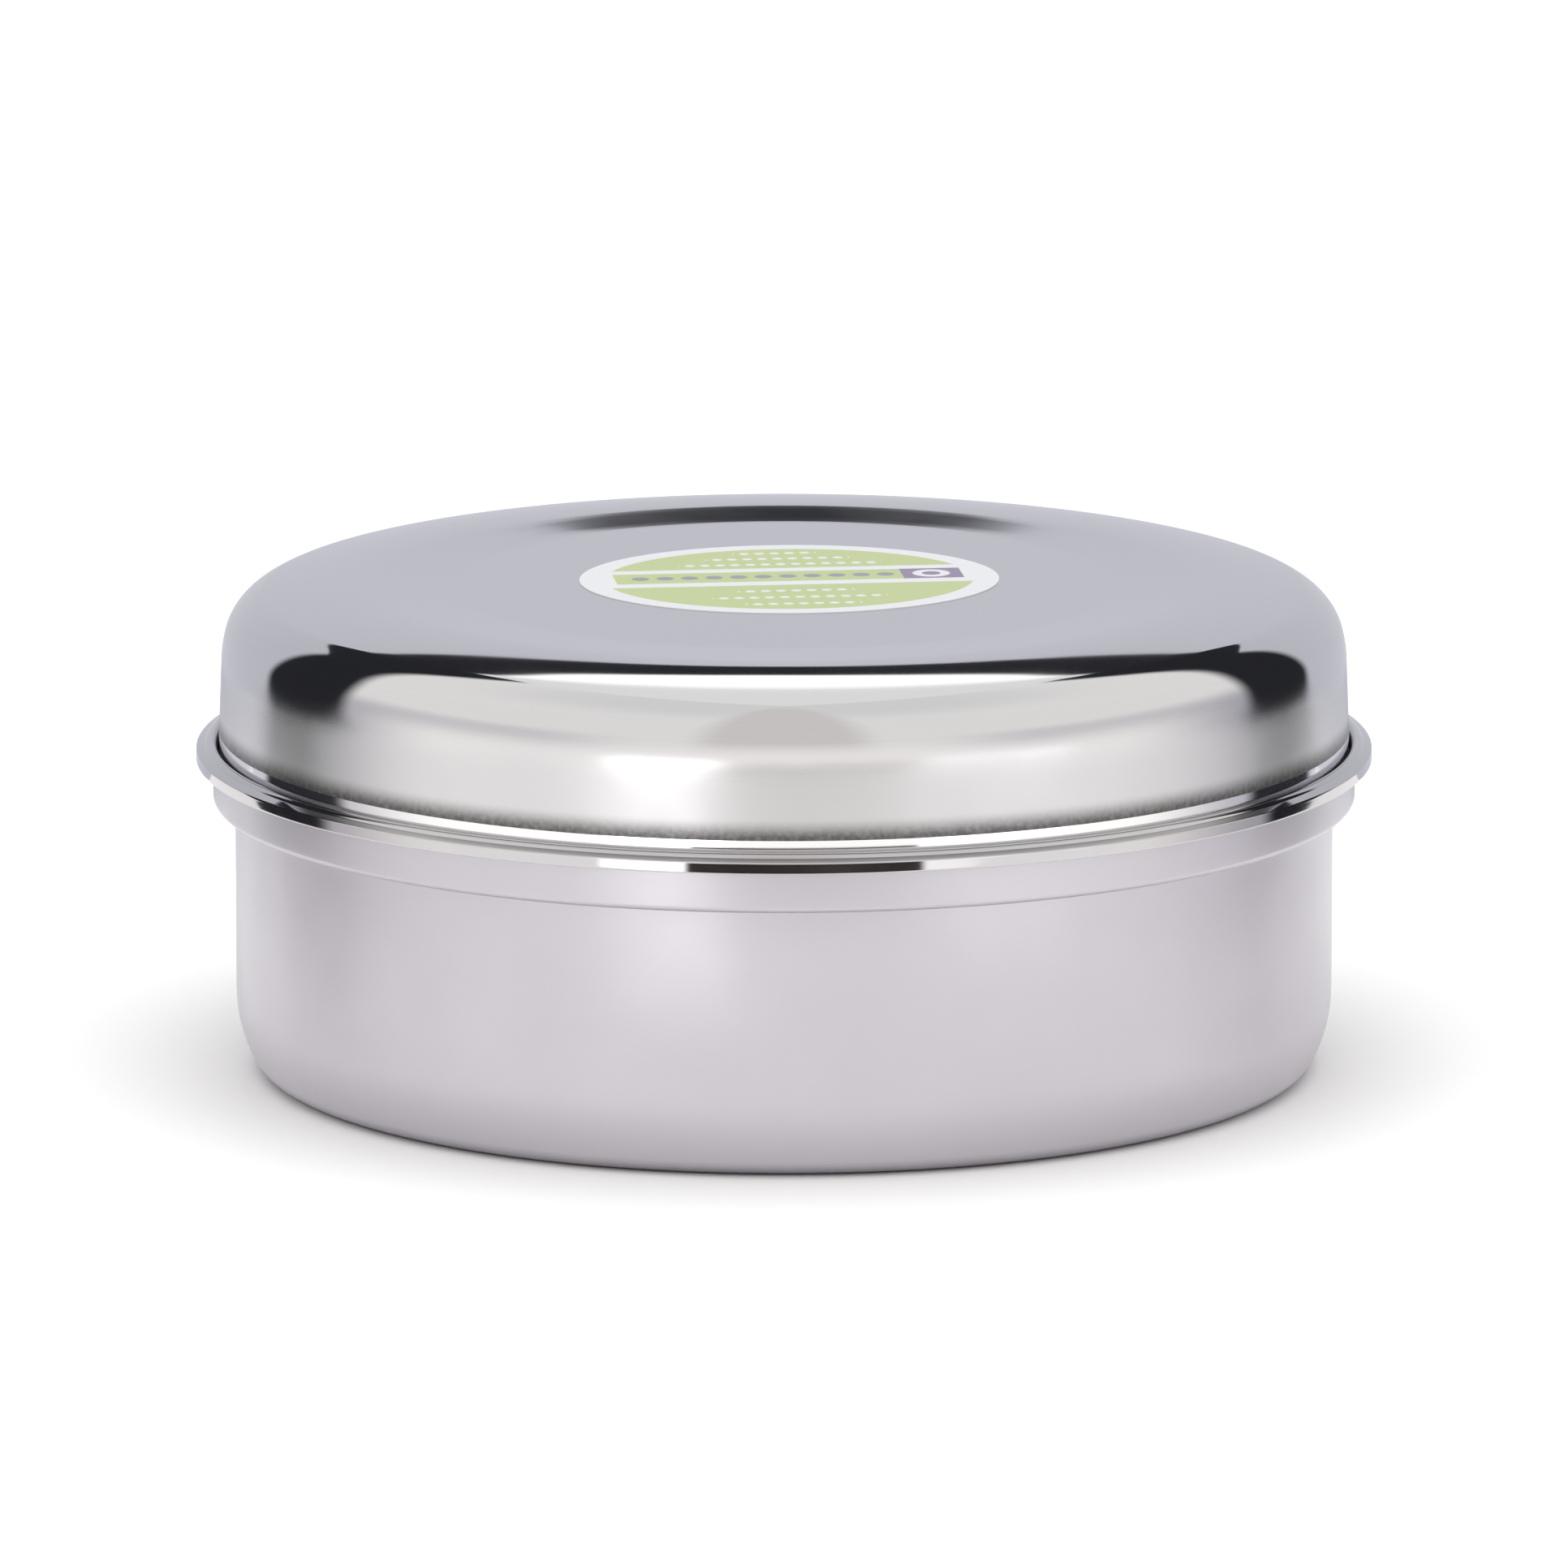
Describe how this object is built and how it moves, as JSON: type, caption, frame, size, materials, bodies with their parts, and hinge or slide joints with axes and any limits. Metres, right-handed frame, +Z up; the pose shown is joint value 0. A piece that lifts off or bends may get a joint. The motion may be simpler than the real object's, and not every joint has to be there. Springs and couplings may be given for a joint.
{
  "type": "spice box",
  "caption": "Round stainless steel spice box with a domed push-in lid, an inner plate with a knob, small cups and spoons inside.",
  "frame": {"origin": "middle of the box's underside, on the table", "axes": "+Z up along the box's axis; -Y towards the front, +X to the right"},
  "size_m": [0.2, 0.2, 0.0833],
  "materials": {
    "box_steel": "satin wall, polished collar and rim",
    "lid_steel": "polished",
    "plate_steel": "satin",
    "knob_steel": "polished",
    "cup_steel": "satin, polished rim",
    "spoon_steel": "polished",
    "label_paper": "printed paper, satin"
  },
  "bodies": {
    "box": {"box_body": "box_steel"},
    "cup_centre": {"cup_centre": "cup_steel"},
    "cup_ring_1": {"cup_ring_1": "cup_steel"},
    "cup_ring_2": {"cup_ring_2": "cup_steel"},
    "cup_ring_3": {"cup_ring_3": "cup_steel"},
    "cup_ring_4": {"cup_ring_4": "cup_steel"},
    "cup_ring_5": {"cup_ring_5": "cup_steel"},
    "cup_ring_6": {"cup_ring_6": "cup_steel"},
    "spoon_1": {"spoon_1": "spoon_steel"},
    "spoon_2": {"spoon_2": "spoon_steel"},
    "inner_plate": {"inner_plate": "plate_steel", "plate_knob": "knob_steel", "knob_rivet": "knob_steel"},
    "lid": {"lid": "lid_steel", "label": "label_paper"}
  },
  "joints": [
    {"name": "cup_centre_lift", "type": "slide", "parent": "box", "child": "cup_centre", "axis": [0, 0, 1], "range_m": [0, 0.06]},
    {"name": "cup_ring_1_lift", "type": "slide", "parent": "cup_centre", "child": "cup_ring_1", "axis": [0, 0, 1], "range_m": [0, 0.06]},
    {"name": "cup_ring_2_lift", "type": "slide", "parent": "cup_ring_1", "child": "cup_ring_2", "axis": [0, 0, 1], "range_m": [0, 0.06]},
    {"name": "cup_ring_3_lift", "type": "slide", "parent": "cup_ring_2", "child": "cup_ring_3", "axis": [0, 0, 1], "range_m": [0, 0.06]},
    {"name": "cup_ring_4_lift", "type": "slide", "parent": "cup_ring_3", "child": "cup_ring_4", "axis": [0, 0, 1], "range_m": [0, 0.06]},
    {"name": "cup_ring_5_lift", "type": "slide", "parent": "cup_ring_4", "child": "cup_ring_5", "axis": [0, 0, 1], "range_m": [0, 0.06]},
    {"name": "cup_ring_6_lift", "type": "slide", "parent": "cup_ring_5", "child": "cup_ring_6", "axis": [0, 0, 1], "range_m": [0, 0.06]},
    {"name": "spoon_1_lift", "type": "slide", "parent": "cup_ring_6", "child": "spoon_1", "axis": [0, 0, 1], "range_m": [0, 0.03]},
    {"name": "spoon_2_lift", "type": "slide", "parent": "spoon_1", "child": "spoon_2", "axis": [0, 0, 1], "range_m": [0, 0.03]},
    {"name": "inner_plate_lift", "type": "slide", "parent": "spoon_2", "child": "inner_plate", "axis": [0, 0, 1], "range_m": [0, 0.05]},
    {"name": "lid_lift", "type": "slide", "parent": "inner_plate", "child": "lid", "axis": [0, 0, 1], "range_m": [0, 0.08]}
  ]
}
